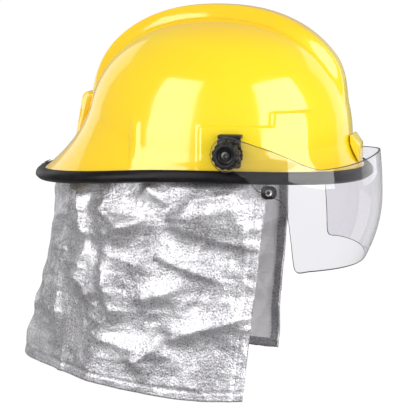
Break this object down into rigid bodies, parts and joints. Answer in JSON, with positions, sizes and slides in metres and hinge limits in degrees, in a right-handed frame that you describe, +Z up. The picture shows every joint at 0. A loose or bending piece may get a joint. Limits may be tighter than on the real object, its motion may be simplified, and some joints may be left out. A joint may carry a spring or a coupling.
{
  "type": "firefighter helmet",
  "caption": "Crested firefighter helmet with a hinged clear face visor, rubber-edged brim, aluminised neck cape, padded head harness with a size adjuster, and a buckled chin strap.",
  "frame": {"origin": "centre of the head opening, level with the middle of the edge trim at the sides", "axes": "+X towards the front, +Y towards the wearer's left, +Z up towards the crest"},
  "size_m": [0.3367, 0.2716, 0.3483],
  "materials": {
    "yellow_shell": "gloss",
    "black_rubber": "satin",
    "bright_steel": "satin",
    "grey_foam": "matte",
    "black_nylon": "satin",
    "dark_leather": "matte",
    "black_webbing": "matte",
    "aluminised_cloth": "satin",
    "clear_polycarbonate": "gloss"
  },
  "bodies": {
    "helmet": {"outer_shell": "yellow_shell", "front_badge_plate": "yellow_shell", "edge_trim": "black_rubber", "trim_joint_clip": "bright_steel", "pivot_bolt_right": "bright_steel", "pivot_bolt_left": "bright_steel", "pivot_nut_right": "bright_steel", "pivot_nut_left": "bright_steel", "pivot_washer_right": "bright_steel", "pivot_washer_left": "bright_steel", "strap_anchor_right": "bright_steel", "strap_anchor_left": "bright_steel", "cape_stud_right_front": "bright_steel", "cape_stud_right_rear": "bright_steel", "cape_stud_rear": "bright_steel", "cape_stud_left_rear": "bright_steel", "cape_stud_left_front": "bright_steel", "impact_liner": "grey_foam", "crown_pad": "grey_foam", "nape_pad": "grey_foam", "headband": "black_nylon", "suspension_clip_front": "black_nylon", "suspension_clip_rear": "black_nylon", "suspension_clip_left": "black_nylon", "suspension_clip_right": "black_nylon", "ratchet_base": "black_nylon", "ratchet_cover": "black_nylon", "pivot_bracket_right": "black_nylon", "pivot_bracket_left": "black_nylon", "bracket_flange_right": "black_nylon", "bracket_flange_left": "black_nylon", "buckle_socket": "black_nylon", "brow_sweatband": "dark_leather", "chin_pad": "dark_leather", "crown_strap_fore_aft": "black_webbing", "crown_strap_cross": "black_webbing", "cape_fixing_band": "black_webbing", "chin_strap_right": "black_webbing", "chin_strap_left": "black_webbing", "cape_tab_right": "black_webbing", "cape_tab_left": "black_webbing", "neck_cape": "aluminised_cloth"},
    "visor": {"visor_lens": "clear_polycarbonate", "visor_bush_right": "black_nylon", "visor_bush_left": "black_nylon"},
    "knob_right": {"visor_knob_right": "black_nylon"},
    "knob_left": {"visor_knob_left": "black_nylon"},
    "size_knob": {"ratchet_knob": "black_nylon", "ratchet_pinion": "black_nylon"},
    "tail_right": {"band_tail_right": "black_nylon"},
    "tail_left": {"band_tail_left": "black_nylon"},
    "plug": {"buckle_plug": "black_nylon"}
  },
  "joints": [
    {"name": "visor_raise", "type": "hinge", "parent": "helmet", "child": "visor", "pos_m": [0.0335, 0, 0.0215], "axis": [0, -1, 0], "range_deg": [0, 57]},
    {"name": "knob_right_turn", "type": "hinge", "parent": "helmet", "child": "knob_right", "pos_m": [0.0335, -0.131, 0.0215], "axis": [0, -1, 0], "range_deg": [0, 180]},
    {"name": "knob_left_turn", "type": "hinge", "parent": "helmet", "child": "knob_left", "pos_m": [0.0335, 0.131, 0.0215], "axis": [0, 1, 0], "range_deg": [0, 180]},
    {"name": "size_knob_turn", "type": "hinge", "parent": "helmet", "child": "size_knob", "pos_m": [-0.094, 0, 0.006], "axis": [-1, 0, 0], "range_deg": [0, 120]},
    {"name": "tail_right_slide", "type": "slide", "parent": "helmet", "child": "tail_right", "axis": [0, 1, 0], "range_m": [0, 0.009]},
    {"name": "tail_left_slide", "type": "slide", "parent": "helmet", "child": "tail_left", "axis": [0, -1, 0], "range_m": [0, 0.009]},
    {"name": "buckle_release", "type": "slide", "parent": "helmet", "child": "plug", "axis": [0, 1, 0], "range_m": [0, 0.022], "deforming": ["chin_strap_left"]}
  ],
  "couplings": [
    {"joint": "tail_right_slide", "follows": "size_knob_turn", "m_per_rad": 0.0042},
    {"joint": "tail_left_slide", "follows": "size_knob_turn", "m_per_rad": 0.0042}
  ]
}
